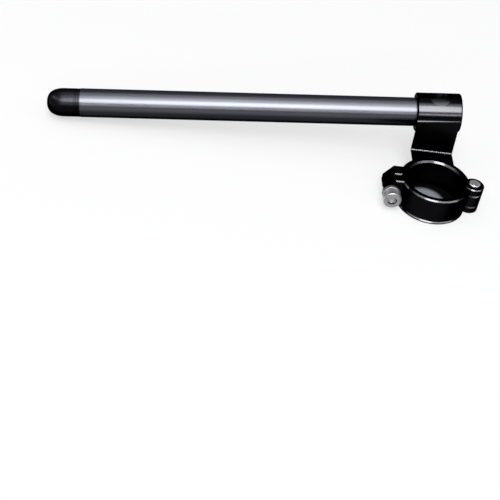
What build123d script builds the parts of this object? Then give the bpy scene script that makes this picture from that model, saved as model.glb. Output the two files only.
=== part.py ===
"""Clip-on handlebar: a raised, hinged fork clamp that carries a plain grip bar with a domed end cap."""
import os
from math import asin, atan2, cos, hypot, radians, sin, sqrt, tan

from build123d import *

os.makedirs("parts", exist_ok=True)

# Fork ring, split in two halves across the fork axis
fork_bore_radius = 21.5
ring_wall = 5.4
ring_width = 22.8
bore_chamfer = 1.2
rim_chamfer = 0.9
edge_break = 0.8
split_gap = 2.2
groove_rise = 2.5
groove_depth = 0.8
groove_sweep = 140.0

# Bolt lugs on the open side of the ring
bolt_offset = 32.9
lug_end_margin = 5.6
lug_bevel_run = 6.8
lug_bevel_drop = 9.0
lug_root = 20.0
thread_lug_depth = 10.7
cap_lug_depth = 6.7

# Hinge on the closed side of the ring
hinge_offset = 29.9
hinge_drop = 0.9
knuckle_radius = 7.8
knuckle_break = 0.7
tongue_width = 10.4
knuckle_play = 0.15
knuckle_clearance = 0.8
pin_radius = 4.2
pin_press = 0.02
pin_running = 0.06
pin_proud = 1.3
pin_recess = 0.4
pin_chamfer = 0.5

# Clamp bolt and split washer
bolt_radius = 4.0
bolt_thread_clearance = 0.05
bolt_hole_clearance = 0.6
bolt_thread_length = 11.2
head_radius = 6.95
head_height = 8.0
head_chamfer = 0.7
head_socket_flat = 6.0
head_socket_depth = 4.0
washer_radius = 7.1
washer_thickness = 2.6
washer_clearance = 0.2
washer_split = 1.1
washer_split_angle = 20.0
washer_chamfer = 0.4
seat_clearance = 0.8
seat_depth = 0.3

# Bar and its socket
bar_radius = 11.1
bar_wall = 4.0
bar_offset = 53.0
bar_height = 35.7
bar_droop = 6.45
bar_fit = 0.03
socket_wall = 3.9
socket_outer_end = 16.4
socket_inner_end = 18.2
socket_round = 1.2
socket_mouth = 0.5
socket_relief = 6.0
bar_recess = 2.0
bar_length_outside = 259.2
spigot_step = 0.2
spigot_reach = 2.0

# Riser between ring and socket
bend_offset = 34.0
riser_half_width = 16.5
riser_thickness = 13.0
riser_root = 15.0
riser_toe = 34.0
riser_step = 0.6
flank_draft = 20.0
bend_fillet = 2.0

# Round window in the top of the socket, through which the bar is seen
window_radius = 8.85
window_setback = 1.5

# Domed end cap
cap_straight = 12.0
cap_length = 26.0
cap_step = 0.2
quarter_turn = 90.0
cap_stem_length = 22.0
cap_stem_clearance = 0.05
cap_stem_chamfer = 1.0

# Sizes that follow from the ones above
ring_radius = fork_bore_radius + ring_wall
ring_top = ring_width / 2
ring_core = fork_bore_radius - bore_chamfer
split_half = split_gap / 2
groove_height = groove_rise - ring_top
groove_mouth = 2 * groove_depth
tongue_half = tongue_width / 2
slot_radius = knuckle_radius + knuckle_clearance
knuckle_height = ring_top - tongue_half - knuckle_play
lug_tip = bolt_offset + lug_end_margin
seat_offset = split_half + cap_lug_depth
lug_back = split_half + thread_lug_depth
socket_radius = bar_radius + socket_wall
bore_reach = 2 * ring_radius
tube_bore_radius = bar_radius - bar_wall
tube_start = bar_recess - socket_inner_end
tube_end = socket_outer_end + bar_length_outside
spigot_radius = bar_radius - spigot_step
spigot_end = socket_outer_end + spigot_reach
socket_bore_radius = spigot_radius + bar_fit
cap_radius = bar_radius - cap_step

# Directions and planes of the drooping bar
droop = radians(bar_droop)
bar_axis_dir = (-cos(droop), 0, -sin(droop))
bar_up_dir = (-sin(droop), 0, cos(droop))
bar_centre = (0, bar_offset, bar_height)
bar_plane = Plane(origin=bar_centre, x_dir=(0, -1, 0), z_dir=bar_axis_dir)
bar_side_plane = Plane(origin=bar_centre, x_dir=bar_axis_dir, z_dir=(0, -1, 0))
bar_axis = Axis(bar_centre, bar_axis_dir)
window_centre = (
    bar_centre[0] - window_setback * bar_axis_dir[0],
    bar_centre[1],
    bar_centre[2] - window_setback * bar_axis_dir[2],
)
window_plane = Plane(origin=window_centre, x_dir=(0, -1, 0), z_dir=bar_up_dir)

# Axes of the hinge pin and of the clamp bolt
hinge_plane = Plane(origin=(hinge_offset, -hinge_drop, 0), z_dir=(0, 0, 1))
bolt_plane = Plane(origin=(-bolt_offset, 0, 0), x_dir=(1, 0, 0), z_dir=(0, -1, 0))
lug_plane = Plane(origin=(0, 0, 0), x_dir=(1, 0, 0), z_dir=(0, -1, 0))

# Plane through the fork axis where the groove in the cap's wall starts
groove_start = radians(-quarter_turn - groove_sweep / 2)
groove_plane = Plane(
    origin=(0, 0, 0),
    x_dir=(cos(groove_start), sin(groove_start), 0),
    z_dir=(sin(groove_start), -cos(groove_start), 0),
)

# Front face of the riser leans back until it lies just ahead of the socket
face_run = bar_offset - bend_offset
face_rise = bar_height - ring_top
face_span = hypot(face_run, face_rise)
face_reach = socket_radius + riser_step
face_lean = atan2(face_rise, face_run) + asin(face_reach / face_span)
face_length = sqrt(face_span**2 - face_reach**2)
face_up = (cos(face_lean), sin(face_lean))
face_in = (sin(face_lean), -cos(face_lean))

# Corners of the riser in the plane across the handlebar
top_length = face_length + riser_half_width * tan(droop) + 2 * riser_step
riser_top = (bend_offset + top_length * face_up[0], ring_top + top_length * face_up[1])
riser_back = (riser_top[0] + riser_thickness * face_in[0], riser_top[1] + riser_thickness * face_in[1])
riser_heel = (bend_offset + riser_thickness * face_in[0], ring_top + riser_thickness * face_in[1])
brow_forward = face_reach * face_in[0]
brow_height = -face_reach * face_in[1]

# Riser: a cranked plate whose flanks lean in towards its back
with BuildPart() as riser:
    with BuildSketch(Plane.YZ) as riser_side:
        with BuildLine():
            Polyline(
                (riser_root, ring_top),
                (bend_offset, ring_top),
                riser_top,
                riser_back,
                riser_heel,
                (riser_toe, -ring_top),
                (riser_root, -ring_top),
                close=True,
            )
        make_face()
    extrude(amount=riser_half_width, both=True)
    bend_edge = riser.edges().sort_by_distance((0, bend_offset, ring_top))[0]
    fillet(bend_edge, bend_fillet)
    with BuildSketch(bar_plane) as brow:
        with BuildLine():
            Polyline(
                (brow_forward + riser_step, brow_height - riser_step),
                (brow_forward - socket_radius, brow_height + socket_radius),
                (brow_forward + riser_step, brow_height + socket_radius),
                close=True,
            )
        make_face()
    extrude(amount=ring_radius, both=True, mode=Mode.SUBTRACT)
    draft_in = tan(radians(flank_draft))
    with BuildSketch(Plane.XZ) as neck_flank:
        with BuildLine():
            Polyline(
                (riser_half_width, ring_top),
                (riser_half_width - ring_width * draft_in, -ring_top),
                (ring_radius, -ring_top),
                (ring_radius, ring_top),
                close=True,
            )
        make_face()
        mirror(about=Plane.YZ)
    extrude(amount=bar_offset, both=True, mode=Mode.SUBTRACT)
    face_plane = Plane(
        origin=(0, bend_offset, ring_top), x_dir=(1, 0, 0), z_dir=(0, face_up[0], face_up[1])
    )
    with BuildSketch(face_plane) as riser_flank:
        with BuildLine():
            Polyline(
                (riser_half_width, 0),
                (riser_half_width - 2 * riser_thickness * draft_in, 2 * riser_thickness),
                (ring_radius, 2 * riser_thickness),
                (ring_radius, 0),
                close=True,
            )
        make_face()
        mirror(about=Plane.YZ)
    extrude(amount=2 * face_length, both=True, mode=Mode.SUBTRACT)

# Threaded lug of the bracket, bevelled towards its tip
with BuildPart() as thread_lug:
    with BuildSketch(lug_plane.offset(-lug_back)) as thread_lug_face:
        with BuildLine():
            Polyline(
                (-lug_root, -ring_top),
                (-lug_root, ring_top),
                (-lug_tip + lug_bevel_run, ring_top),
                (-lug_tip, ring_top - lug_bevel_drop),
                (-lug_tip, -ring_top + lug_bevel_drop),
                (-lug_tip + lug_bevel_run, -ring_top),
                close=True,
            )
        make_face()
    extrude(amount=thread_lug_depth)
    chamfer(thread_lug.faces().filter_by(Axis.Y).edges(), edge_break)

# Plain lug of the cap, with the same bevelled tip
with BuildPart() as cap_lug:
    with BuildSketch(lug_plane.offset(split_half)) as cap_lug_face:
        with BuildLine():
            Polyline(
                (-lug_root, -ring_top),
                (-lug_root, ring_top),
                (-lug_tip + lug_bevel_run, ring_top),
                (-lug_tip, ring_top - lug_bevel_drop),
                (-lug_tip, -ring_top + lug_bevel_drop),
                (-lug_tip + lug_bevel_run, -ring_top),
                close=True,
            )
        make_face()
    extrude(amount=cap_lug_depth)
    chamfer(cap_lug.faces().filter_by(Axis.Y).edges(), edge_break)

# Outer hinge knuckles of the bracket, with broken rims
with BuildPart() as knuckles:
    with BuildSketch(hinge_plane.offset(-ring_top)) as lower_knuckle:
        Circle(knuckle_radius)
    extrude(amount=knuckle_height)
    with BuildSketch(hinge_plane.offset(ring_top - knuckle_height)) as upper_knuckle:
        Circle(knuckle_radius)
    extrude(amount=knuckle_height)
    chamfer(knuckles.edges().filter_by(GeomType.CIRCLE), knuckle_break)

# Middle hinge knuckle of the cap, with broken rims
with BuildPart() as tongue:
    with BuildSketch(hinge_plane.offset(-tongue_half)) as tongue_face:
        Circle(knuckle_radius)
    extrude(amount=tongue_width)
    chamfer(tongue.edges().filter_by(GeomType.CIRCLE), knuckle_break)

# Bar socket: a turned sleeve with rounded rims
with BuildPart() as socket:
    with BuildSketch(bar_plane.offset(-socket_inner_end)) as socket_face:
        Circle(socket_radius)
    extrude(amount=socket_inner_end + socket_outer_end)
    fillet(socket.edges().filter_by(GeomType.CIRCLE), socket_round)

# Bracket: fixed half ring, lug, knuckles, riser and bar socket in one machined piece
with BuildPart() as bracket:
    with BuildSketch(Plane.XZ) as ring_section:
        with BuildLine():
            Polyline(
                (ring_core, -ring_top),
                (ring_radius - rim_chamfer, -ring_top),
                (ring_radius, -ring_top + rim_chamfer),
                (ring_radius, ring_top - rim_chamfer),
                (ring_radius - rim_chamfer, ring_top),
                (ring_core, ring_top),
                close=True,
            )
        make_face()
    revolve(axis=Axis.Z)
    with BuildSketch(Plane.XY.offset(-ring_width)) as cap_side:
        with Locations((0, split_half)):
            Rectangle(2 * bore_reach, bore_reach, align=(Align.CENTER, Align.MAX))
    extrude(amount=2 * ring_width, mode=Mode.SUBTRACT)
    add(thread_lug.part)
    add(knuckles.part)
    add(riser.part)
    add(socket.part)
    with BuildSketch(Plane.XZ) as bore_section:
        with BuildLine():
            Polyline(
                (0, -ring_top),
                (fork_bore_radius + bore_chamfer, -ring_top),
                (fork_bore_radius, -ring_top + bore_chamfer),
                (fork_bore_radius, ring_top - bore_chamfer),
                (fork_bore_radius + bore_chamfer, ring_top),
                (0, ring_top),
                close=True,
            )
        make_face()
    revolve(axis=Axis.Z, mode=Mode.SUBTRACT)
    with BuildSketch(bar_side_plane) as socket_bore:
        with BuildLine():
            Polyline(
                (-socket_inner_end, 0),
                (-socket_inner_end, socket_bore_radius + socket_mouth),
                (-socket_inner_end + socket_mouth, socket_bore_radius),
                (socket_outer_end - socket_mouth, socket_bore_radius),
                (socket_outer_end, socket_bore_radius + socket_mouth),
                (socket_outer_end + socket_relief, socket_bore_radius + socket_mouth),
                (socket_outer_end + socket_relief, 0),
                close=True,
            )
        make_face()
    revolve(axis=bar_axis, mode=Mode.SUBTRACT)
    with BuildSketch(hinge_plane.offset(-tongue_half - knuckle_play)) as tongue_slot:
        Circle(slot_radius)
    extrude(amount=tongue_width + 2 * knuckle_play, mode=Mode.SUBTRACT)
    with BuildSketch(hinge_plane.offset(-ring_width)) as pin_hole:
        Circle(pin_radius + pin_press)
    extrude(amount=2 * ring_width, mode=Mode.SUBTRACT)
    with BuildSketch(bolt_plane.offset(-2 * lug_back)) as thread_hole:
        Circle(bolt_radius + bolt_thread_clearance)
    extrude(amount=2 * lug_back, mode=Mode.SUBTRACT)
    with BuildSketch(window_plane) as window:
        Circle(window_radius)
    extrude(amount=2 * socket_radius, mode=Mode.SUBTRACT)
bracket.part.label = "bracket"
export_step(bracket.part, "parts/bracket.step")

# Clamp cap: hinged half ring with the middle knuckle and the plain lug
with BuildPart() as clamp_cap:
    with BuildSketch(Plane.XZ) as cap_section:
        with BuildLine():
            Polyline(
                (ring_core, -ring_top),
                (ring_radius - rim_chamfer, -ring_top),
                (ring_radius, -ring_top + rim_chamfer),
                (ring_radius, ring_top - rim_chamfer),
                (ring_radius - rim_chamfer, ring_top),
                (ring_core, ring_top),
                close=True,
            )
        make_face()
    revolve(axis=Axis.Z)
    with BuildSketch(Plane.XY.offset(-ring_width)) as bracket_side:
        with Locations((0, -split_half)):
            Rectangle(2 * bore_reach, bore_reach, align=(Align.CENTER, Align.MIN))
    extrude(amount=2 * ring_width, mode=Mode.SUBTRACT)
    with BuildSketch(hinge_plane.offset(tongue_half)) as upper_relief:
        Circle(slot_radius)
    extrude(amount=ring_width, mode=Mode.SUBTRACT)
    with BuildSketch(hinge_plane.offset(-tongue_half)) as lower_relief:
        Circle(slot_radius)
    extrude(amount=-ring_width, mode=Mode.SUBTRACT)
    with BuildSketch(groove_plane) as rim_groove:
        with BuildLine():
            Polyline(
                (ring_radius - groove_depth, groove_height),
                (ring_radius + groove_depth, groove_height - groove_mouth),
                (ring_radius + groove_depth, groove_height + groove_mouth),
                close=True,
            )
        make_face()
    revolve(axis=Axis.Z, revolution_arc=groove_sweep, mode=Mode.SUBTRACT)
    add(tongue.part)
    add(cap_lug.part)
    with BuildSketch(Plane.XZ) as cap_bore_section:
        with BuildLine():
            Polyline(
                (0, -ring_top),
                (fork_bore_radius + bore_chamfer, -ring_top),
                (fork_bore_radius, -ring_top + bore_chamfer),
                (fork_bore_radius, ring_top - bore_chamfer),
                (fork_bore_radius + bore_chamfer, ring_top),
                (0, ring_top),
                close=True,
            )
        make_face()
    revolve(axis=Axis.Z, mode=Mode.SUBTRACT)
    with BuildSketch(hinge_plane.offset(-ring_width)) as cap_pin_hole:
        Circle(pin_radius + pin_running)
    extrude(amount=2 * ring_width, mode=Mode.SUBTRACT)
    with BuildSketch(bolt_plane) as bolt_hole:
        Circle(bolt_radius + bolt_hole_clearance)
    extrude(amount=2 * seat_offset, mode=Mode.SUBTRACT)
    with BuildSketch(bolt_plane.offset(seat_offset - seat_depth)) as bolt_seat:
        Circle(washer_radius + seat_clearance)
    extrude(amount=ring_radius, mode=Mode.SUBTRACT)
clamp_cap.part.label = "clamp_cap"
export_step(clamp_cap.part, "parts/clamp_cap.step")

# Hinge pin: plain turned pin through the three knuckles
pin_length = ring_width + pin_proud - pin_recess
with BuildPart() as hinge_pin:
    with BuildSketch(hinge_plane.offset(pin_recess - ring_top)) as pin_face:
        Circle(pin_radius)
    extrude(amount=pin_length)
    chamfer(hinge_pin.edges().filter_by(GeomType.CIRCLE), pin_chamfer)
hinge_pin.part.label = "hinge_pin"
export_step(hinge_pin.part, "parts/hinge_pin.step")

# Split washer on the seat of the cap lug
washer_base = seat_offset - seat_depth
with BuildPart() as lock_washer:
    with BuildSketch(bolt_plane.offset(washer_base)) as washer_face:
        Circle(washer_radius)
        Circle(bolt_radius + washer_clearance, mode=Mode.SUBTRACT)
    extrude(amount=washer_thickness)
    outer_rims = lock_washer.edges().filter_by(GeomType.CIRCLE).group_by(SortBy.RADIUS)[-1]
    chamfer(outer_rims, washer_chamfer)
    split_plane = Plane(
        origin=(-bolt_offset - washer_radius, -washer_base - washer_thickness / 2, 0),
        x_dir=(0, 1, 0),
        z_dir=(1, 0, 0),
    )
    with BuildSketch(split_plane.rotated((0, 0, washer_split_angle))) as split:
        Rectangle(2 * washer_radius, washer_split)
    extrude(amount=washer_radius, both=True, mode=Mode.SUBTRACT)
lock_washer.part.label = "lock_washer"
export_step(lock_washer.part, "parts/lock_washer.step")

# Clamp bolt: socket head cap screw through the cap lug into the bracket lug
head_base = washer_base + washer_thickness
with BuildPart() as clamp_bolt:
    with BuildSketch(bolt_plane.offset(head_base)) as head_face:
        Circle(head_radius)
    extrude(amount=head_height)
    chamfer(clamp_bolt.edges().filter_by(GeomType.CIRCLE).sort_by(Axis.Y)[0], head_chamfer)
    with BuildSketch(bolt_plane.offset(-bolt_thread_length)) as shank_face:
        Circle(bolt_radius)
    extrude(amount=bolt_thread_length + head_base)
    with BuildSketch(bolt_plane.offset(head_base + head_height)) as hex_face:
        RegularPolygon(head_socket_flat / 2, side_count=6, major_radius=False)
    extrude(amount=-head_socket_depth, mode=Mode.SUBTRACT)
clamp_bolt.part.label = "clamp_bolt"
export_step(clamp_bolt.part, "parts/clamp_bolt.step")

# Grip bar: straight tube running down and out of the socket, turned down where it enters
with BuildPart() as bar_tube:
    with BuildSketch(bar_plane.offset(tube_start)) as spigot_face:
        Circle(spigot_radius)
        Circle(tube_bore_radius, mode=Mode.SUBTRACT)
    extrude(amount=spigot_end - tube_start)
    with BuildSketch(bar_plane.offset(spigot_end)) as tube_face:
        Circle(bar_radius)
        Circle(tube_bore_radius, mode=Mode.SUBTRACT)
    extrude(amount=tube_end - spigot_end)
bar_tube.part.label = "bar_tube"
export_step(bar_tube.part, "parts/bar_tube.step")

# End cap: domed plug, a hair smaller than the bar so that a grip slides over it
stem_radius = tube_bore_radius - cap_stem_clearance
with BuildPart() as end_cap:
    with BuildSketch(bar_side_plane) as cap_profile:
        with BuildLine():
            stem = Polyline(
                (tube_end + cap_length, 0),
                (tube_end - cap_stem_length, 0),
                (tube_end - cap_stem_length, stem_radius - cap_stem_chamfer),
                (tube_end - cap_stem_length + cap_stem_chamfer, stem_radius),
                (tube_end, stem_radius),
                (tube_end, cap_radius),
                (tube_end + cap_straight, cap_radius),
            )
            EllipticalCenterArc(
                (tube_end + cap_straight, 0),
                cap_length - cap_straight,
                cap_radius,
                start_angle=0,
                arc_size=quarter_turn,
            )
        make_face()
    revolve(axis=bar_axis)
end_cap.part.label = "end_cap"
export_step(end_cap.part, "parts/end_cap.step")
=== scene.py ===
"""Dresses the clip-on handlebar.

The clamp is black machined metal, the grip bar is grey, the bolt and the pin are steel and the
plug in the bar's end is black. They lie on a pale floor.
"""

from __future__ import annotations

import logging
import math
from abc import ABC, abstractmethod
from dataclasses import dataclass
from enum import Enum
from typing import Callable, Mapping, Optional, Sequence, Union

import bmesh
import bpy
from mathutils import Matrix, Vector


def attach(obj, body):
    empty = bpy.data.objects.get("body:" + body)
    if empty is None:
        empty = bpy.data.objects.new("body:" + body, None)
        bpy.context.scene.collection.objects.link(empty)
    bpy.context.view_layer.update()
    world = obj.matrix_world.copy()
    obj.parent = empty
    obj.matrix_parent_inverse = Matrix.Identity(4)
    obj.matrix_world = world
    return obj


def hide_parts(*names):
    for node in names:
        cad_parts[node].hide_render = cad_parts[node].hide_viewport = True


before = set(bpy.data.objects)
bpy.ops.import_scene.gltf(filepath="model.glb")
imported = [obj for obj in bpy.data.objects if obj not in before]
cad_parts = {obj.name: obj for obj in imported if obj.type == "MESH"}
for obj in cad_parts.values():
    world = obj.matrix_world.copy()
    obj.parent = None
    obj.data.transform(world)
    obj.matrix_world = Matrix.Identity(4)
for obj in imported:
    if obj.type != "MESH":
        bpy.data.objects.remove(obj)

LOG = logging.getLogger("clip_on_handlebar")
MM = 0.001
SMOOTH_DEGREES = 28.0

Colour = tuple[float, float, float]
Triple = tuple[float, float, float]
Value = Union["Wire", float, int]
Settings = Mapping[str, object]
Sockets = Mapping[Union[str, int], object]

BLACK: Colour = (0.0, 0.0, 0.0)
WHITE: Colour = (1.0, 1.0, 1.0)


class Axis(Enum):
    """The row axis that a turned piece spins about."""

    Y = "y"
    Z = "z"


@dataclass(frozen=True)
class Grain:
    """A noise pattern.

    Attributes:
        scale: Cells a metre of the vector that it is read from.
        detail: Octaves.
        roughness: How strong the finer octaves are.
    """

    scale: float
    detail: float = 2.0
    roughness: float = 0.5


class Wire:
    """A node's output socket that takes part in Python arithmetic."""

    def __init__(self, graph: "Graph", socket: bpy.types.NodeSocket) -> None:
        """Keeps the socket with the graph that it belongs to."""
        self.graph = graph
        self.socket = socket

    def __add__(self, other: Value) -> "Wire":
        """Adds a value."""
        return self.graph.math("ADD", self, other)

    def __radd__(self, other: Value) -> "Wire":
        """Adds to a plain number."""
        return self.graph.math("ADD", other, self)

    def __sub__(self, other: Value) -> "Wire":
        """Subtracts a value."""
        return self.graph.math("SUBTRACT", self, other)

    def __rsub__(self, other: Value) -> "Wire":
        """Subtracts from a plain number."""
        return self.graph.math("SUBTRACT", other, self)

    def __mul__(self, other: Value) -> "Wire":
        """Multiplies by a value."""
        return self.graph.math("MULTIPLY", self, other)

    def __truediv__(self, other: Value) -> "Wire":
        """Divides by a value."""
        return self.graph.math("DIVIDE", self, other)


class Graph:
    """A node tree that is written as expressions."""

    def __init__(self, tree: bpy.types.NodeTree) -> None:
        """Keeps the tree."""
        self.tree = tree

    def node(
        self,
        kind: str,
        settings: Optional[Settings] = None,
        sockets: Optional[Sockets] = None,
    ) -> bpy.types.Node:
        """Adds any node.

        Args:
            kind: The node's Blender type.
            settings: Its properties; "stops" holds a ramp's (place, colour) pairs.
            sockets: Values or wires for its inputs, by name or by number.

        Returns:
            The new node.
        """
        made = self.tree.nodes.new(kind)
        for name, value in (settings or {}).items():
            if name == "stops":
                self._set_stops(made.color_ramp, value)
            else:
                setattr(made, name, value)
        for name, value in (sockets or {}).items():
            if isinstance(value, Wire):
                self.tree.links.new(value.socket, made.inputs[name])
            else:
                made.inputs[name].default_value = value
        return made

    @staticmethod
    def _set_stops(ramp: bpy.types.ColorRamp, stops: Sequence[tuple[float, Colour]]) -> None:
        """Gives a ramp its stops, in order of place."""
        while len(ramp.elements) < len(stops):
            ramp.elements.new(1.0)
        for element, (place, colour) in zip(ramp.elements, stops):
            element.position = place
            element.color = (*colour, 1.0)

    def wire(
        self,
        kind: str,
        settings: Optional[Settings] = None,
        sockets: Optional[Sockets] = None,
        output: Union[str, int] = 0,
    ) -> Wire:
        """Adds a node and returns the wire of one of its outputs.

        Args:
            kind: The node's Blender type.
            settings: As for node().
            sockets: As for node().
            output: The output's name or number.

        Returns:
            The output as a wire.
        """
        return Wire(self, self.node(kind, settings, sockets).outputs[output])

    def math(self, operation: str, *values: Value) -> Wire:
        """Adds a Math node.

        Args:
            operation: The Math node's operation.
            values: Its operands.

        Returns:
            The result as a wire.
        """
        return self.wire("ShaderNodeMath", {"operation": operation}, dict(enumerate(values)))

    def clamp(self, value: Value) -> Wire:
        """Limits a value to the range from 0 to 1."""
        return self.wire("ShaderNodeClamp", None, {"Value": value})

    def between(self, value: Wire, low: float, high: float, fade: float) -> Wire:
        """Makes a mask that is 1 between two values.

        Args:
            value: What is compared.
            low: Where the mask has risen to 1.
            high: Where it starts to fall.
            fade: How far it takes to rise or fall.

        Returns:
            The mask.
        """
        rise = self.clamp((value - (low - fade)) / fade)
        fall = self.clamp(((high + fade) - value) / fade)
        return rise * fall

    def wave(self, value: Wire) -> Wire:
        """Rises from 0 to 1 and falls back over each whole step of a value."""
        return self.math("PINGPONG", value, 0.5) * 2.0

    def stretch(self, vector: Wire, factors: Triple) -> Wire:
        """Scales a vector by one factor an axis."""
        sockets = {0: vector, 1: factors}
        return self.wire("ShaderNodeVectorMath", {"operation": "MULTIPLY"}, sockets)

    def split(self, vector: Wire) -> tuple[Wire, Wire, Wire]:
        """Returns the three parts of a vector."""
        first, second, third = self.node("ShaderNodeSeparateXYZ", None, {0: vector}).outputs
        return Wire(self, first), Wire(self, second), Wire(self, third)

    def join(self, x: Value, y: Value, z: Value) -> Wire:
        """Makes a vector of three values."""
        return self.wire("ShaderNodeCombineXYZ", None, {0: x, 1: y, 2: z})

    def length(self, first: Wire, second: Wire) -> Wire:
        """Returns the length of a flat vector from its two parts."""
        return self.math("SQRT", first * first + second * second)


class Shade(Graph):
    """The node tree of one material, with its Principled shader."""

    # The Mix node's sockets for colours
    MIX_SHARE = 0
    MIX_LOW = 6
    MIX_HIGH = 7
    MIX_RESULT = 2

    def __init__(self, material: bpy.types.Material) -> None:
        """Clears the material's tree and gives it one shader."""
        material.use_nodes = True
        super().__init__(material.node_tree)
        self.tree.nodes.clear()
        self.surface = self.node("ShaderNodeBsdfPrincipled")
        output = self.node("ShaderNodeOutputMaterial")
        self.tree.links.new(self.surface.outputs[0], output.inputs["Surface"])

    def put(self, socket: str, value: object) -> None:
        """Sets or links one of the shader's inputs.

        Args:
            socket: The input's name.
            value: A wire, a number or a colour.
        """
        target = self.surface.inputs[socket]
        if isinstance(value, Wire):
            self.tree.links.new(value.socket, target)
        elif isinstance(value, tuple) and len(value) == 3:
            target.default_value = (*value, 1.0)
        else:
            target.default_value = value

    def place(self, origin: Triple = (0, 0, 0), turn: Triple = (0, 0, 0)) -> Wire:
        """Returns Object coordinates, seen from a piece's own origin and turn.

        Args:
            origin: The origin in the row frame, in metres.
            turn: The turn of the axes as Euler angles.

        Returns:
            The coordinates.
        """
        position = self.wire("ShaderNodeTexCoord", output="Object")
        return self.wire(
            "ShaderNodeMapping",
            {"vector_type": "TEXTURE"},
            {"Vector": position, "Location": origin, "Rotation": turn},
        )

    def noise(self, vector: Wire, grain: Grain) -> Wire:
        """Adds a noise texture.

        Args:
            vector: Where the noise is read.
            grain: Its pattern.

        Returns:
            The noise, around a half.
        """
        sockets = {
            "Vector": vector,
            "Scale": grain.scale,
            "Detail": grain.detail,
            "Roughness": grain.roughness,
        }
        return self.wire("ShaderNodeTexNoise", None, sockets, "Fac")

    def blend(self, share: Value, low: Union[Colour, Wire], high: Union[Colour, Wire]) -> Wire:
        """Mixes two colours.

        Args:
            share: How much of the second colour is taken.
            low: The first colour.
            high: The second colour.

        Returns:
            The mixed colour.
        """
        ends = [c if isinstance(c, Wire) else (*c, 1.0) for c in (low, high)]
        sockets = {self.MIX_SHARE: share, self.MIX_LOW: ends[0], self.MIX_HIGH: ends[1]}
        return self.wire("ShaderNodeMix", {"data_type": "RGBA"}, sockets, self.MIX_RESULT)

    def bump(self, height: Wire, strength: float, distance: float) -> Wire:
        """Turns a height into a normal.

        Args:
            height: The height, from 0 to 1.
            strength: Share of the bump that is used.
            distance: The height's size in metres.

        Returns:
            The bumped normal.
        """
        sockets = {"Height": height, "Strength": strength, "Distance": distance}
        return self.wire("ShaderNodeBump", None, sockets)

    def facing(self) -> tuple[Wire, Wire]:
        """Returns how far the surface faces along its first and third axis, without a sign."""
        parts = self.split(self.wire("ShaderNodeTexCoord", output="Normal"))
        return self.math("ABSOLUTE", parts[0]), self.math("ABSOLUTE", parts[2])

    def metal(self, edge_tint: Colour) -> None:
        """Makes the surface a metal whose grazing reflections have a tint."""
        self.put("Metallic", 1.0)
        self.put("Specular Tint", edge_tint)


class Finish(ABC):
    """A surface finish that makes its own material."""

    name: str

    @abstractmethod
    def shade(self, shade: Shade) -> None:
        """Writes the finish into a material's tree."""

    def material(self) -> bpy.types.Material:
        """Returns a new material with this finish."""
        made = bpy.data.materials.new(self.name)
        self.shade(Shade(made))
        LOG.info("finish %s", self.name)
        return made


@dataclass(frozen=True)
class BarLine:
    """The drooping line of the bar, for patterns that follow it."""

    origin: Triple = (0.0, 53.0 * MM, 35.7 * MM)
    droop: float = math.radians(6.45)

    @property
    def turn(self) -> Triple:
        """The turn that lays the first axis along the bar."""
        return (0.0, math.pi - self.droop, 0.0)

    @property
    def direction(self) -> Vector:
        """The way out along the bar."""
        return Vector((-math.cos(self.droop), 0.0, -math.sin(self.droop)))


@dataclass(frozen=True)
class PaintedUnderShade:
    """Painted shade that darkens the underside of a round piece on the bar's line.

    Attributes:
        start: Where it starts, downwards from the bar's line.
        depth: How far down it takes to reach its full share.
        share: How dark it gets, from 0 to 1.
    """

    start: float
    depth: float
    share: float

    def darken(self, shade: Shade, down: Wire, colour: Wire) -> Wire:
        """Returns a colour that falls towards black downwards, as painted shade."""
        under = shade.clamp((down - self.start) / self.depth) * self.share
        return shade.blend(under, colour, BLACK)


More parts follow.
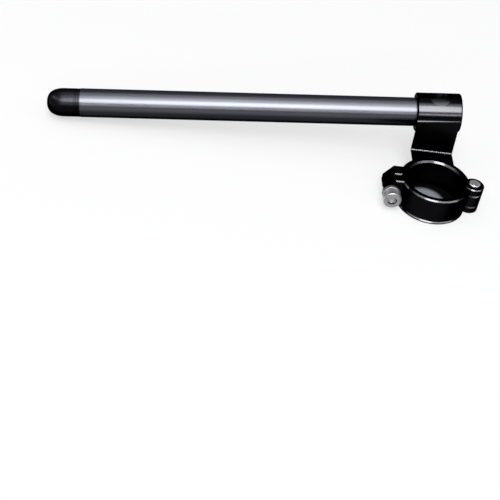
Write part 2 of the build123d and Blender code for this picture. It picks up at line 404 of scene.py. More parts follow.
@dataclass(frozen=True)
class GlossBlack(Finish):
    """Black anodised metal with a painted highlight band on the socket, edges worn bright and
    given painted highlights, and the marks of the tools.

    The socket's masks are read along the bar's line and the others in the row frame. The dark
    grazing tint keeps the black deep towards its outlines.
    """

    name: str = "gloss_black_anodise"
    line: BarLine = BarLine()
    deep: Colour = (0.0035, 0.0035, 0.004)
    worn: Colour = (0.0065, 0.0065, 0.0072)
    # Colour of the painted highlight band on the socket
    painted_highlight_band: Colour = (0.086, 0.086, 0.093)
    # Colours of the worn bright edges with their painted highlights, and of the riser's bend line
    edge_wear_and_highlight: Colour = (0.135, 0.135, 0.144)
    bend_wear_and_highlight: Colour = (0.32, 0.32, 0.335)
    grazing: Colour = (0.06, 0.06, 0.07)
    gloss: float = 0.14
    socket_radius: float = 15.2 * MM
    socket_outer: float = 15.6 * MM
    socket_inner: float = -17.7 * MM
    highlight_band_low: float = 7.0 * MM
    highlight_band_top: float = 11.9 * MM
    mask_fade: float = 1.6 * MM
    brow_height: float = 22.0 * MM
    brow_dimming: float = 0.65
    lug_start: float = -27.5 * MM
    lug_root: float = -22.4 * MM
    rim_half: float = 14.0 * MM
    rim_fade: float = 6.0 * MM
    hinge_start: float = 23.0 * MM
    hinge_fade: float = 3.0 * MM
    hinge_shift: float = 5.5 * MM
    knuckle_top: float = 8.0 * MM
    knuckle_drop: float = 7.0 * MM
    knuckle_dimming: float = 0.85
    riser_start: float = 24.0 * MM
    hair: float = 0.1 * MM
    edge_facing: tuple[float, float] = (0.58, 0.84)
    edge_blur: float = 0.05
    tip_facing: tuple[float, float] = (0.5, 1.0)
    tip_blur: float = 0.1
    bore_grain: Grain = Grain(2600.0, 1.0)
    bore_squeeze: float = 0.3
    draw_grain: Grain = Grain(1.0, 1.0)
    draw_stretch: Triple = (25.0, 1500.0, 1500.0)
    cloud_grain: Grain = Grain(90.0, 3.0)
    speck_grain: Grain = Grain(1500.0, 2.0, 0.6)
    speck_least: float = 0.7
    speck_gain: float = 0.6
    streak_least: float = 0.8
    streak_gain: float = 0.4
    cloud_roughness: float = 0.05
    mark_roughness: float = 0.06
    mark_strength: float = 0.35
    mark_depth: float = 0.003 * MM

    def shade(self, shade: Shade) -> None:
        """Writes the tool marks, the worn bright edges with their painted highlights and the
        painted highlight band on the socket.
        """
        place = shade.place()
        x, y, z = shade.split(place)
        by_bar = shade.place(self.line.origin, self.line.turn)
        along, across, down = shade.split(by_bar)
        on_socket = shade.between(shade.length(across, down), 0.0, self.socket_radius, self.hair)
        # Painted highlight: a brighter band along the socket's upper side, where the light's
        # reflection falls
        painted_highlight_band = on_socket * shade.between(along, self.socket_inner, self.socket_outer, self.hair)
        upper = (self.highlight_band_low, self.highlight_band_top, self.mask_fade)
        painted_highlight_band = painted_highlight_band * shade.between(down * -1.0, *upper)
        squeezed = shade.join(shade.length(x, y) * self.bore_squeeze, 0.0, z)
        bored = shade.noise(squeezed, self.bore_grain)
        drawn = shade.noise(shade.stretch(by_bar, self.draw_stretch), self.draw_grain)
        marks = bored + (drawn - bored) * on_socket
        cloud = shade.noise(place, self.cloud_grain)
        on_brow = shade.clamp((z - self.brow_height) / self.mask_fade)
        on_riser = shade.clamp((y - self.riser_start) / self.hair)
        # Painted highlights on edges that are also worn bright, weaker on the brow and on the
        # lower knuckles
        plain = (1.0 - on_socket) * (1.0 - on_brow * self.brow_dimming)
        edge_wear_and_highlight_mask = self._edges(shade, place, plain) * self._kept(shade, place, on_riser)
        body = shade.blend(cloud, self.deep, self.worn)
        streaks = self.streak_least + drawn * self.streak_gain
        body = shade.blend(painted_highlight_band * streaks, body, self.painted_highlight_band)
        # The riser's bend line gets a brighter painted highlight
        edge = shade.blend(on_riser * (1.0 - on_brow), self.edge_wear_and_highlight, self.bend_wear_and_highlight)
        roughness = self.gloss + cloud * self.cloud_roughness + marks * self.mark_roughness
        shade.put("Base Color", shade.blend(edge_wear_and_highlight_mask, body, edge))
        shade.metal(self.grazing)
        shade.put("Roughness", roughness)
        shade.put("Normal", shade.bump(marks, self.mark_strength, self.mark_depth))

    def _edges(self, shade: Shade, place: Wire, plain: Wire) -> Wire:
        """Makes the mask of the broken edges that lean between level and upright, which are worn
        bright and carry painted highlights.

        Args:
            shade: The material's tree.
            place: Object coordinates.
            plain: A mask of where the edges show.

        Returns:
            The mask, with specks in it.
        """
        specks = shade.noise(place, self.speck_grain)
        sideways, upright = shade.facing()
        beyond = shade.clamp((self.lug_start - shade.split(place)[0]) / self.hair)
        lug_tip = shade.between(sideways, *self.tip_facing, self.tip_blur) * beyond
        edges = shade.between(upright, *self.edge_facing, self.edge_blur)
        edges = edges * plain * (1.0 - lug_tip)
        return shade.clamp(edges * (self.speck_least + specks * self.speck_gain))

    def _kept(self, shade: Shade, place: Wire, on_riser: Wire) -> Wire:
        """Makes the mask of the places whose edges carry a painted highlight.

        Args:
            shade: The material's tree.
            place: Object coordinates.
            on_riser: The mask of the riser.

        Returns:
            The mask of the rim's front and back, the riser, the lug and the hinge.
        """
        x, _, z = shade.split(place)
        on_rim = shade.between(x, -self.rim_half, self.rim_half, self.rim_fade)
        on_lug = shade.clamp((self.lug_root - x) / self.hair)
        lower = shade.clamp((self.knuckle_top - z) / self.hair)
        beside = x - self.hinge_start - lower * self.hinge_shift
        on_hinge = shade.clamp(beside / self.hinge_fade)
        kept = shade.math("MAXIMUM", on_rim, on_riser)
        kept = shade.math("MAXIMUM", kept, on_lug + on_hinge)
        low = shade.clamp(z * -1.0 / self.knuckle_drop)
        return kept * (1.0 - on_hinge * low * self.knuckle_dimming)


@dataclass(frozen=True)
class DrawnGrey(Finish):
    """Satin grey anodise over a tube that was drawn along its length."""

    name: str = "grey_anodise"
    line: BarLine = BarLine()
    dark: Colour = (0.12, 0.124, 0.143)
    light: Colour = (0.185, 0.19, 0.214)
    edge_tint: Colour = (0.2, 0.2, 0.26)
    painted_under_shade: PaintedUnderShade = PaintedUnderShade(start=-6.5 * MM, depth=7.0 * MM, share=0.86)
    coarse_grain: Grain = Grain(1.0, 2.0)
    coarse_stretch: Triple = (9.0, 900.0, 900.0)
    coarse_dye: float = 0.7
    coarse_roughness: float = 0.06
    coarse_relief: float = 0.5
    fine_grain: Grain = Grain(1.0, 1.0)
    fine_stretch: Triple = (30.0, 4200.0, 4200.0)
    fine_roughness: float = 0.05
    fine_relief: float = 0.5
    cloud_grain: Grain = Grain(34.0, 3.0)
    cloud_dye: float = 0.4
    cloud_roughness: float = 0.03
    satin: float = 0.225
    streak_strength: float = 0.5
    streak_depth: float = 0.005 * MM

    def shade(self, shade: Shade) -> None:
        """Writes the lengthwise streaks and the cloudy dye, with painted shade on the underside.
        """
        place = shade.place(self.line.origin, self.line.turn)
        coarse = shade.noise(shade.stretch(place, self.coarse_stretch), self.coarse_grain)
        fine = shade.noise(shade.stretch(place, self.fine_stretch), self.fine_grain)
        cloud = shade.noise(place, self.cloud_grain)
        dyed = shade.clamp(coarse * self.coarse_dye + cloud * self.cloud_dye)
        dye = shade.blend(dyed, self.dark, self.light)
        streaks = self.satin + coarse * self.coarse_roughness + fine * self.fine_roughness
        relief = coarse * self.coarse_relief + fine * self.fine_relief
        # Painted shade: the colour darkens towards the underside
        shade.put("Base Color", self.painted_under_shade.darken(shade, shade.split(place)[2], dye))
        shade.metal(self.edge_tint)
        shade.put("Roughness", streaks + cloud * self.cloud_roughness)
        shade.put("Normal", shade.bump(relief, self.streak_strength, self.streak_depth))


@dataclass(frozen=True)
class MouldedBlack(Finish):
    """Satin black moulding with a fine grain and painted shade on its underside.

    It is shaded as a dark metal, so that its outlines stay deep black.
    """

    name: str = "moulded_black"
    line: BarLine = BarLine()
    deep: Colour = (0.033, 0.033, 0.038)
    dusty: Colour = (0.043, 0.043, 0.049)
    edge_tint: Colour = (0.05, 0.05, 0.06)
    painted_under_shade: PaintedUnderShade = PaintedUnderShade(start=-7.2 * MM, depth=4.5 * MM, share=0.9)
    fine_grain: Grain = Grain(2600.0, 1.0)
    fine_roughness: float = 0.08
    fine_relief: float = 0.7
    ring_grain: Grain = Grain(700.0, 2.0)
    ring_dye: float = 0.3
    ring_roughness: float = 0.05
    ring_relief: float = 0.3
    cloud_grain: Grain = Grain(60.0, 3.0)
    cloud_dye: float = 0.8
    dye_start: float = 0.1
    satin: float = 0.2
    relief_strength: float = 0.4
    relief_depth: float = 0.006 * MM

    def shade(self, shade: Shade) -> None:
        """Writes the moulded grain, the faint ring marks and the painted shade on the underside.
        """
        place = shade.place(self.line.origin, self.line.turn)
        along, _, down = shade.split(place)
        fine = shade.noise(place, self.fine_grain)
        rings = shade.noise(shade.join(along, 0.0, 0.0), self.ring_grain)
        cloud = shade.noise(place, self.cloud_grain)
        dyed = shade.clamp(cloud * self.cloud_dye + rings * self.ring_dye - self.dye_start)
        dye = shade.blend(dyed, self.deep, self.dusty)
        relief = fine * self.fine_relief + rings * self.ring_relief
        # Painted shade: the colour darkens towards the underside
        shade.put("Base Color", self.painted_under_shade.darken(shade, down, dye))
        shade.metal(self.edge_tint)
        roughness = self.satin + fine * self.fine_roughness + rings * self.ring_roughness
        shade.put("Roughness", roughness)
        shade.put("Normal", shade.bump(relief, self.relief_strength, self.relief_depth))


@dataclass(frozen=True)
class TurnedSteel(Finish):
    """Steel with the rings that a lathe leaves.

    A bolt's head has a painted lighter rim outside rim_radius. Its socket, inside matte_radius,
    has painted shade round its mouth and, deeper than matte_reach, a matte floor. The defaults
    leave the rim and the socket out.
    """

    name: str
    centre: Triple
    axis: Axis
    dark: Colour = (0.66, 0.66, 0.68)
    light: Colour = (0.96, 0.96, 0.97)
    satin: float = 0.27
    matte_radius: float = 0.0
    matte_reach: float = 0.0
    matte: Colour = (0.66, 0.66, 0.65)
    matte_share: float = 0.85
    painted_socket_shade: Colour = (0.05, 0.05, 0.052)
    rim_radius: float = 1.0
    rim: Colour = (0.72, 0.72, 0.73)
    rim_share: float = 0.75
    hair: float = 0.1 * MM
    ring_grain: Grain = Grain(2600.0, 1.0)
    ring_roughness: float = 0.1
    ring_strength: float = 0.6
    ring_depth: float = 0.02 * MM
    cloud_grain: Grain = Grain(420.0, 4.0, 0.6)
    cloud_gain: float = 1.5
    cloud_start: float = 0.25
    cloud_roughness: float = 0.12

    def shade(self, shade: Shade) -> None:
        """Writes the lathe rings, the tarnish, the painted lighter rim, and a socket's painted
        shade and matte plating.
        """
        place = shade.place(self.centre)
        x, y, z = shade.split(place)
        side, along = (y, z) if self.axis is Axis.Z else (z, y)
        radius = shade.length(x, side)
        rings = shade.noise(shade.join(radius, along, 0.0), self.ring_grain)
        cloud = shade.noise(place, self.cloud_grain)
        deep = shade.clamp((along + self.matte_reach) / self.hair)
        in_socket = shade.clamp((self.matte_radius - radius) / self.hair)
        dull = in_socket * deep * self.matte_share
        on_rim = shade.clamp((radius - self.rim_radius) / self.hair) * self.rim_share
        tarnish = shade.clamp(cloud * self.cloud_gain - self.cloud_start)
        steel = shade.blend(tarnish, self.dark, self.light)
        # Painted light: a paler rim on the bolt's knurl, then painted shade inside the socket's
        # mouth
        steel = shade.blend(on_rim, steel, self.rim)
        steel = shade.blend(in_socket, steel, self.painted_socket_shade)
        roughness = self.satin + rings * self.ring_roughness + cloud * self.cloud_roughness
        shade.put("Base Color", shade.blend(dull, steel, self.matte))
        shade.put("Metallic", 1.0 - dull)
        shade.put("Roughness", roughness)
        shade.put("Normal", shade.bump(rings, self.ring_strength, self.ring_depth))


@dataclass(frozen=True)
class PaleFloor(Finish):
    """Plain pale studio floor, with a painted shadow and a painted patch of light inside the
    clamp's ring.

    It is lifted towards white where it is seen straight or in a reflection, and keeps a share of
    the object's shadow.
    """

    name: str = "pale_floor"
    low: Colour = (0.92, 0.92, 0.925)
    high: Colour = (0.94, 0.94, 0.945)
    cloud_grain: Grain = Grain(3.0, 2.0)
    dullness: float = 0.85
    shine: float = 0.1
    # Where the painted shadow and the painted patch of light lie inside the ring
    ring_radius: float = 25.8 * MM
    foot_fade: float = 1.8 * MM
    lit_centre: Triple = (-3.1 * MM, 1.6 * MM, 0.0)
    lit_radius: float = 12.9 * MM
    lit_fade: float = 3.6 * MM
    lit: Colour = (0.27, 0.27, 0.31)
    lift: float = 0.6
    lifted_rays: tuple[str, ...] = ("Is Camera Ray", "Is Glossy Ray", "Is Transmission Ray")

    def shade(self, shade: Shade) -> None:
        """Writes a nearly even pale colour, and inside the ring a painted shadow with a dimmer
        painted patch of light.
        """
        place = shade.place()
        x, y, _ = shade.split(place)
        # Painted shadow inside the clamp's ring, with a painted patch of light in it
        painted_shadow = shade.clamp((self.ring_radius - shade.length(x, y)) / self.foot_fade)
        x, y, _ = shade.split(shade.place(self.lit_centre))
        painted_light_patch = shade.between(shade.length(x, y), 0.0, self.lit_radius, self.lit_fade)
        pale = shade.blend(shade.noise(place, self.cloud_grain), self.low, self.high)
        colour = shade.blend(painted_shadow, pale, shade.blend(painted_light_patch, BLACK, self.lit))
        path = shade.node("ShaderNodeLightPath").outputs
        seen = shade.clamp(sum(Wire(shade, path[ray]) for ray in self.lifted_rays))
        lifted = seen * (1.0 - painted_shadow) * self.lift
        shade.put("Base Color", shade.blend(lifted, colour, BLACK))
        shade.put("Emission Color", shade.blend(lifted, BLACK, WHITE))
        shade.put("Emission Strength", 1.0)
        shade.put("Roughness", self.dullness)
        shade.put("Specular IOR Level", self.shine)


class NodeShape(Graph):
    """A Geometry Nodes tree with named inputs, ending in Realize Instances and Set Material."""

    def __init__(self, name: str, inputs: Mapping[str, object]) -> None:
        """Makes the tree's sockets.

        Args:
            name: The tree's name.
            inputs: Each input's name and value; a whole number makes a whole-number input.
        """
        super().__init__(bpy.data.node_groups.new(name, "GeometryNodeTree"))
        self.values = dict(inputs)
        face = self.tree.interface
        face.new_socket("Geometry", in_out="INPUT", socket_type="NodeSocketGeometry")
        self.keys: dict[str, str] = {}
        for key, value in inputs.items():
            kind = "NodeSocketInt" if isinstance(value, int) else "NodeSocketFloat"
            if isinstance(value, bpy.types.Material):
                kind = "NodeSocketMaterial"
            self.keys[key] = face.new_socket(key, in_out="INPUT", socket_type=kind).identifier
        face.new_socket("Geometry", in_out="OUTPUT", socket_type="NodeSocketGeometry")
        self.start = self.node("NodeGroupInput")

    def given(self, name: str) -> Wire:
        """Returns one of the tree's inputs as a wire."""
        return Wire(self, self.start.outputs[name])

    def end(self, geometry: Wire) -> None:
        """Closes the tree on its last geometry."""
        real = self.wire("GeometryNodeRealizeInstances", None, {0: geometry})
        sockets = {"Geometry": real, "Material": self.given("Material")}
        dressed = self.wire("GeometryNodeSetMaterial", None, sockets)
        self.node("NodeGroupOutput", None, {0: dressed})

    def apply(self, piece: bpy.types.Object) -> None:
        """Runs the tree on a piece and keeps the result as its plain mesh."""
        step = piece.modifiers.new(self.tree.name, "NODES")
        step.node_group = self.tree
        for name, key in self.keys.items():
            step[key] = self.values[name]
        graph = bpy.context.evaluated_depsgraph_get()
        made = bpy.data.meshes.new_from_object(piece.evaluated_get(graph), depsgraph=graph)
        piece.modifiers.remove(step)
        piece.data = made


def link_mesh(name: str, build: Callable[[bmesh.types.BMesh], None]) -> bpy.types.Object:
    """Makes a mesh object at the origin.

    Args:
        name: The piece's name.
        build: Fills the mesh, in metres and in the row frame.

    Returns:
        The linked object.
    """
    shell = bmesh.new()
    build(shell)
    bmesh.ops.recalc_face_normals(shell, faces=shell.faces)
    mesh = bpy.data.meshes.new(name)
    shell.to_mesh(mesh)
    shell.free()
    piece = bpy.data.objects.new(name, mesh)
    bpy.context.scene.collection.objects.link(piece)
    return piece


def close_lathe(
    shell: bmesh.types.BMesh,
    loops: Sequence[Sequence[bmesh.types.BMVert]],
    ends: tuple[Triple, Triple],
) -> None:
    """Joins the loops of a turned shape and closes both of its ends.

    Args:
        shell: The mesh that is filled.
        loops: Rings of points, each with the same count.
        ends: The middle points that close the first and the last ring.
    """
    count = len(loops[0])
    pairs = [(i, (i + 1) % count) for i in range(count)]
    for lower, upper in zip(loops, loops[1:]):
        for i, j in pairs:
            shell.faces.new((lower[i], lower[j], upper[j], upper[i]))
    for loop, end in zip((loops[0], loops[-1]), ends):
        middle = shell.verts.new(end)
        for i, j in pairs:
            shell.faces.new((loop[i], loop[j], middle))


def full_turn(count: int) -> list[float]:
    """Returns evenly spaced angles round a full turn."""
    return [2 * math.pi * i / count for i in range(count)]


def smooth_by_angle(piece: bpy.types.Object) -> None:
    """Shades a piece smooth, but for its sharper edges."""
    piece.data.polygons.foreach_set("use_smooth", [True] * len(piece.data.polygons))
    piece.data.set_sharp_from_angle(angle=math.radians(SMOOTH_DEGREES))


def dress_node(name: str, material: bpy.types.Material) -> None:
    """Gives a CAD node a material."""
    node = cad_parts[name]
    for slot in node.material_slots:
        slot.material = material
    LOG.info("dressed %s in %s", name, material.name)


@dataclass
class ForkClamp:
    """The bracket with its riser and socket, and the hinged cap."""

    nodes: tuple[str, ...] = ("bracket", "clamp_cap")

    def dress(self, black: bpy.types.Material) -> None:
        """Puts the black anodise on both halves."""
        for name in self.nodes:
            dress_node(name, black)


@dataclass
class HingePin:
    """The turned pin that the cap swings on."""

    offset: float = 29.9 * MM
    drop: float = 0.9 * MM

    def dress(self) -> None:
        """Puts turned steel on the pin, with its rings about the pin's own axis."""
        centre = (self.offset, -self.drop, 0.0)
        dress_node("hinge_pin", TurnedSteel("turned_pin_steel", centre, Axis.Z).material())


@dataclass
class ClampBolt:
    """The socket head bolt with its knurl and thread, and the split washer."""

    offset: float = 32.9 * MM
    shank_radius: float = 4.0 * MM
    tip: float = -11.2 * MM
    tip_chamfer: float = 0.7 * MM
    head_base: float = 10.1 * MM
    head_top: float = 18.1 * MM
    head_radius: float = 6.95 * MM
    head_chamfer: float = 0.7 * MM
    base_bevel: float = 0.3 * MM
    base_land: float = 0.5 * MM
    crest_land: float = 0.2 * MM
    top_break: float = 0.12 * MM
    top_inset: float = 0.1 * MM
    socket_apothem: float = 3.0 * MM
    socket_depth: float = 4.0 * MM
    socket_lead: float = 0.35 * MM
    drill_point: float = 0.8 * MM
    ridges: int = 48
    ridge_depth: float = 0.3 * MM
    ridge_start: float = 0.4 * MM
    pitch: float = 1.25 * MM
    thread_depth: float = 0.62 * MM
    thread_top: float = 6.0 * MM
    thread_runout: float = 1.5 * MM
    groove_gain: float = 1.5
    groove_start: float = 0.25
    hair: float = 0.05 * MM
    segments: int = 192
    ring_step: float = 0.125 * MM

    def build(self, steel: bpy.types.Material) -> bpy.types.Object:
        """Makes the whole bolt.

        Args:
            steel: Its material.

        Returns:
            The bolt as one closed mesh.
        """
        bolt = link_mesh("clamp_bolt_dressed", self._turn)
        self._cut_knurl_and_thread(steel).apply(bolt)
        smooth_by_angle(bolt)
        return bolt

    def _rings(self) -> list[tuple[float, float, bool]]:
        """Returns the height, radius and hexagon mark of each ring, from tip to socket floor."""
        rounds = [(self.tip, self.shank_radius - self.tip_chamfer)]
        height = self.tip + self.tip_chamfer
        while height < self.head_base - self.ring_step:
            rounds.append((height, self.shank_radius))
            height += self.ring_step
        rim = self.head_radius - self.head_chamfer
        rounds += [
            (self.head_base, self.shank_radius),
            (self.head_base, self.head_radius - self.base_bevel),
            (self.head_base + self.base_bevel, self.head_radius),
            (self.head_base + self.base_land, self.head_radius),
            (self.head_top - self.head_chamfer - self.crest_land, self.head_radius),
            (self.head_top - self.head_chamfer, self.head_radius),
            (self.head_top - self.top_break, rim + self.top_break),
            (self.head_top, rim - self.top_inset),
        ]
        hexagons = [
            (self.head_top, self.socket_apothem + self.socket_lead),
            (self.head_top - self.socket_lead, self.socket_apothem),
            (self.head_top - self.socket_depth, self.socket_apothem),
        ]
        return [(*ring, False) for ring in rounds] + [(*ring, True) for ring in hexagons]

    @staticmethod
    def _ring_radius(radius: float, hexagon: bool, angle: float) -> float:
        """Returns a ring's radius at an angle; a hexagon's radius is its apothem."""
        if not hexagon:
            return radius
        sixth = math.pi / 3
        return radius / math.cos((angle + sixth / 2) % sixth - sixth / 2)

    def _turn(self, shell: bmesh.types.BMesh) -> None:
        """Fills a mesh with the plain turned bolt."""
        angles = full_turn(self.segments)
        loops: list[list[bmesh.types.BMVert]] = []
        for height, radius, hexagon in self._rings():
            loop = []
            for angle in angles:
                reach = self._ring_radius(radius, hexagon, angle)
                side = reach * math.cos(angle) - self.offset
                loop.append(shell.verts.new((side, -height, reach * math.sin(angle))))
            loops.append(loop)
        point = self.head_top - self.socket_depth - self.drill_point
        ends = ((-self.offset, -self.tip, 0.0), (-self.offset, -point, 0.0))
        close_lathe(shell, loops, ends)

    def _cut_knurl_and_thread(self, steel: bpy.types.Material) -> NodeShape:
        """Makes the tree that sinks the knurl's valleys and the thread's groove.

        Args:
            steel: The bolt's material.

        Returns:
            The tree.
        """
        cut = NodeShape(
            "knurl_and_thread",
            {
                "Axis Offset": self.offset,
                "Head Radius": self.head_radius,
                "Head Base": self.head_base,
                "Head Top": self.head_top,
                "Head Chamfer": self.head_chamfer,
                "Ridges": self.ridges,
                "Ridge Depth": self.ridge_depth,
                "Shank Radius": self.shank_radius,
                "Pitch": self.pitch,
                "Thread Depth": self.thread_depth,
                "Thread Top": self.thread_top,
                "Material": steel,
            },
        )
        x, y, z = cut.split(cut.wire("GeometryNodeInputPosition"))
        side = x + cut.given("Axis Offset")
        height = y * -1.0
        radius = cut.length(side, z)
        angle = cut.math("ARCTAN2", z, side) / (2 * math.pi)
        ridge = cut.wave(angle * cut.given("Ridges"))
        on_wall = cut.math("GREATER_THAN", radius, cut.given("Head Radius") - self.hair)
        above = cut.math("GREATER_THAN", height, cut.given("Head Base") + self.ridge_start)
        crest = cut.given("Head Top") - cut.given("Head Chamfer") - self.hair
        below = cut.math("LESS_THAN", height, crest)
        valley = ridge * on_wall * above * below * cut.given("Ridge Depth")
        phase = cut.wave(height / cut.given("Pitch") - angle)
        groove = cut.clamp(phase * self.groove_gain - self.groove_start)
        on_shank = cut.math("GREATER_THAN", radius, cut.given("Shank Radius") - self.hair)
        inner = cut.math("LESS_THAN", radius, cut.given("Shank Radius") + self.hair)
        on_shank = on_shank * inner
        runout = cut.clamp((cut.given("Thread Top") - height) / self.thread_runout)
        sunk = groove * on_shank * runout * cut.given("Thread Depth")
        share = (valley + sunk) / cut.math("MAXIMUM", radius, self.hair)
        offset = cut.join(side * share * -1.0, 0.0, z * share * -1.0)
        sockets = {"Geometry": cut.given("Geometry"), "Offset": offset}
        cut.end(cut.wire("GeometryNodeSetPosition", None, sockets))
        return cut

    def dress(self) -> None:
        """Builds the bolt in place of its plain solid and dresses the washer."""
        centre = (-self.offset, 0.0, 0.0)
        steel = TurnedSteel(
            "bolt_steel_plated",
            centre,
            Axis.Y,
            dark=(0.2, 0.2, 0.205),
            light=(0.42, 0.42, 0.428),
            satin=0.34,
            matte_radius=3.55 * MM,
            matte_reach=16.5 * MM,
            rim_radius=6.5 * MM,
        ).material()
        bolt = self.build(steel)
        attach(bolt, "clamp_bolt")
        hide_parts("clamp_bolt")
        LOG.info("built %s with %d faces", bolt.name, len(bolt.data.polygons))
        washer = TurnedSteel(
            "washer_steel_plated",
            centre,
            Axis.Y,
            dark=(0.12, 0.12, 0.123),
            light=(0.26, 0.26, 0.265),
            satin=0.4,
        ).material()
        dress_node("lock_washer", washer)


@dataclass
class GripBar:
    """The drawn tube and the domed plug in its outer end."""

    line: BarLine = BarLine()
    tube_end: float = 275.6 * MM
    stem_radius: float = 7.05 * MM
    stem_length: float = 22.0 * MM
    stem_chamfer: float = 1.0 * MM
    plug_radius: float = 10.9 * MM
    plug_straight: float = 12.0 * MM
    plug_dome: float = 14.0 * MM
    dome_fullness: float = 2.5
    first_line: float = 1.6 * MM
    line_gap: float = 1.3 * MM
    line_count: int = 3
    line_depth: float = 0.16 * MM
    line_half: float = 0.18 * MM
    dome_steps: int = 24
    segments: int = 128

    def _profile(self) -> list[tuple[float, float]]:
        """Returns the plug's stations along the bar and their radii, from stem to dome."""
        start = self.tube_end
        stations = [
            (start - self.stem_length, self.stem_radius - self.stem_chamfer),
            (start - self.stem_length + self.stem_chamfer, self.stem_radius),
            (start, self.stem_radius),
            (start, self.plug_radius - self.line_depth),
            (start + self.line_depth, self.plug_radius),
        ]
        for i in range(self.line_count):
            middle = start + self.first_line + i * self.line_gap
            stations += [
                (middle - self.line_half, self.plug_radius),
                (middle, self.plug_radius - self.line_depth),
                (middle + self.line_half, self.plug_radius),
            ]
        power = 2.0 / self.dome_fullness
        for i in range(self.dome_steps):
            turn = math.pi / 2 * i / self.dome_steps
            reach = start + self.plug_straight + self.plug_dome * math.sin(turn) ** power
            stations.append((reach, self.plug_radius * math.cos(turn) ** power))
        return stations

    def _turn_plug(self, shell: bmesh.types.BMesh) -> None:
        """Fills a mesh with the plug, lined up with the bar."""
        out = self.line.direction
        side = Vector((0.0, 1.0, 0.0))
        up = out.cross(side)
        origin = Vector(self.line.origin)
        turn = full_turn(self.segments)
        spokes = [side * math.cos(angle) + up * math.sin(angle) for angle in turn]
        stations = self._profile()
        loops = [
            [shell.verts.new(origin + out * reach + spoke * radius) for spoke in spokes]
            for reach, radius in stations
        ]
        tip = self.tube_end + self.plug_straight + self.plug_dome
        close_lathe(shell, loops, (origin + out * stations[0][0], origin + out * tip))

    def build(self, plastic: bpy.types.Material) -> bpy.types.Object:
        """Makes the plug.

        Args:
            plastic: Its material.

        Returns:
            The plug as one closed mesh.
        """
        plug = link_mesh("end_cap_dressed", self._turn_plug)
        plug.data.materials.append(plastic)
        smooth_by_angle(plug)
        return plug

    def dress(self) -> None:
        """Dresses the tube and builds the plug in place of its plain solid."""
        dress_node("bar_tube", DrawnGrey().material())
        plug = self.build(MouldedBlack().material())
        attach(plug, "bracket")
        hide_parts("end_cap")
        LOG.info("built %s with %d faces", plug.name, len(plug.data.polygons))


def aimed(place: Vector, back: Vector, side: Vector) -> Matrix:
    """Returns the matrix of a lamp or a camera.

    Args:
        place: Where it stands.
        back: The direction behind it, of length 1.
        side: The direction of its first axis, roughly.

    Returns:
        Its place and turn.
    """
    right = (side - side.dot(back) * back).normalized()
    turn = Matrix((right, back.cross(right), back)).transposed()
    return Matrix.Translation(place) @ turn.to_4x4()


def hang_lamp(lamp: bpy.types.Light, towards: Vector, side: Vector, distance: float) -> None:
    """Links a lamp that shines at the origin.

    Args:
        lamp: The lamp.
        towards: The direction from the origin to the lamp.
        side: The direction of the lamp's first axis, roughly.
        distance: How far away it hangs, in metres.
    """
    light = bpy.data.objects.new(lamp.name, lamp)
    back = towards.normalized()
    light.matrix_world = aimed(back * distance, back, side)
    light.visible_camera = False
    bpy.context.scene.collection.objects.link(light)


@dataclass(frozen=True)
class Panel:
    """A flat soft light.

    Its length, breadth and angles are in degrees as seen from the origin, its bearing runs from
    -Y towards +X, and its distance is in metres.
    """

    name: str
    bearing: float
    height: float
    length: float
    breadth: float
    tilt: float
    radiance: float
    distance: float = 5.0

    def hang(self) -> None:
        """Hangs the panel with its long side level, but for its tilt."""
        lamp = bpy.data.lights.new(self.name, "AREA")
        lamp.shape = "RECTANGLE"
        lamp.size = 2 * self.distance * math.tan(math.radians(self.length / 2))
        lamp.size_y = 2 * self.distance * math.tan(math.radians(self.breadth / 2))
        lamp.energy = self.radiance * math.pi * lamp.size * lamp.size_y
        turn = math.radians(self.bearing)
        rise = math.radians(self.height)
        level = Vector((math.sin(turn), -math.cos(turn), 0.0))
        towards = level * math.cos(rise) + Vector((0.0, 0.0, math.sin(rise)))
        side = Vector((0.0, 0.0, 1.0)).cross(towards).normalized()
        side = Matrix.Rotation(math.radians(self.tilt), 3, towards) @ side
        hang_lamp(lamp, towards, side, self.distance)


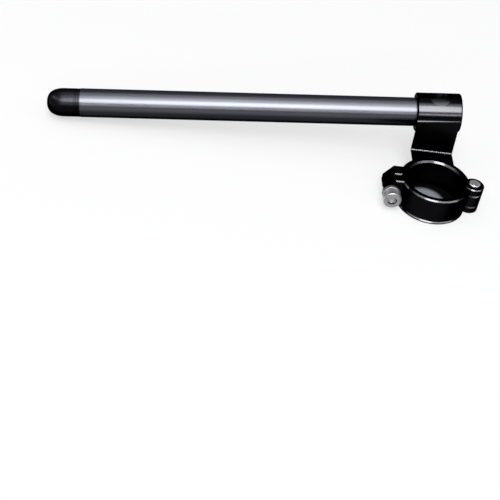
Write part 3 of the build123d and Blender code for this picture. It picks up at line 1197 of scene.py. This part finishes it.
@dataclass
class Studio:
    """The floor, the lamps and the camera."""

    floor_height: float = -11.42 * MM
    floor_radius: float = 12.0
    floor_segments: int = 96
    camera_place: Triple = (-222.7945 * MM, -721.5875 * MM, 564.8056 * MM)
    camera_right: Triple = (0.989488, 0.001054, 0.144612)
    camera_forward: Triple = (0.096204, 0.741815, -0.663668)
    focal_pixels: float = 1217.64
    frame_pixels: float = 500.0
    sensor: float = 36.0
    clip: tuple[float, float] = (0.01, 100.0)
    dim_sky: Colour = (0.16, 0.162, 0.176)
    dim_from: float = 0.68
    pale_horizon: Colour = (0.24, 0.242, 0.262)
    pale_to: float = 0.5
    # Each panel's name, bearing, height, length, breadth, tilt and radiance
    panels: tuple[Panel, ...] = (
        Panel("main_panel", -8.6, 53.0, 27.0, 31.0, 10.7, 7.9),
        Panel("upper_panel", -38.7, 79.7, 27.0, 26.0, 39.1, 2.6),
        Panel("back_panel", -162.0, 69.4, 27.0, 28.0, 162.8, 0.8),
        Panel("front_strip", -2.6, 21.5, 40.0, 6.0, 6.9, 5.0),
        Panel("left_strip", -72.0, 44.0, 70.0, 5.0, 20.0, 3.4),
        Panel("right_strip", 48.0, 43.0, 56.0, 5.0, -23.0, 3.4),
    )

    def build(self) -> None:
        """Makes the whole studio."""
        self._floor()
        self._sky()
        self._camera()
        for panel in self.panels:
            panel.hang()

    def _floor(self) -> None:
        """Makes the floor as one round sheet."""

        def lay(shell: bmesh.types.BMesh) -> None:
            """Fills a mesh with a disc at the floor's height."""
            bmesh.ops.create_circle(
                shell,
                cap_ends=True,
                segments=self.floor_segments,
                radius=self.floor_radius,
                matrix=Matrix.Translation((0.0, 0.0, self.floor_height)),
            )

        floor = link_mesh("studio_floor", lay)
        floor.data.materials.append(PaleFloor().material())

    def _sky(self) -> None:
        """Makes a dim sky that is paler round the horizon."""
        world = bpy.data.worlds.new("studio")
        bpy.context.scene.world = world
        world.use_nodes = True
        sky = Graph(world.node_tree)
        sky.tree.nodes.clear()
        height = sky.split(sky.wire("ShaderNodeTexCoord", output="Generated"))[2]
        stops = [
            (0.0, self.pale_horizon),
            (self.pale_to, self.pale_horizon),
            (self.dim_from, self.dim_sky),
        ]
        # The ramp runs from straight down to straight up
        ramp = sky.wire("ShaderNodeValToRGB", {"stops": stops}, {"Fac": height * 0.5 + 0.5})
        shell = sky.wire("ShaderNodeBackground", None, {"Color": ramp, "Strength": 1.0})
        sky.node("ShaderNodeOutputWorld", None, {"Surface": shell})

    def _camera(self) -> None:
        """Sets the camera at the photograph's place, turn and lens."""
        lens = bpy.data.cameras.new("studio_camera")
        lens.sensor_width = self.sensor
        lens.lens = self.focal_pixels / self.frame_pixels * self.sensor
        lens.clip_start, lens.clip_end = self.clip
        camera = bpy.data.objects.new("studio_camera", lens)
        back = -Vector(self.camera_forward).normalized()
        side = Vector(self.camera_right)
        camera.matrix_world = aimed(Vector(self.camera_place), back, side)
        bpy.context.scene.collection.objects.link(camera)
        bpy.context.scene.camera = camera


def main() -> None:
    """Builds the studio and dresses each sub-assembly in turn."""
    logging.basicConfig(level=logging.INFO, format="%(name)s: %(message)s")
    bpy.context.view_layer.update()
    bpy.context.scene.view_settings.view_transform = "Standard"
    Studio().build()
    ForkClamp().dress(GlossBlack().material())
    HingePin().dress()
    ClampBolt().dress()
    GripBar().dress()


if __name__ == "__main__":
    main()
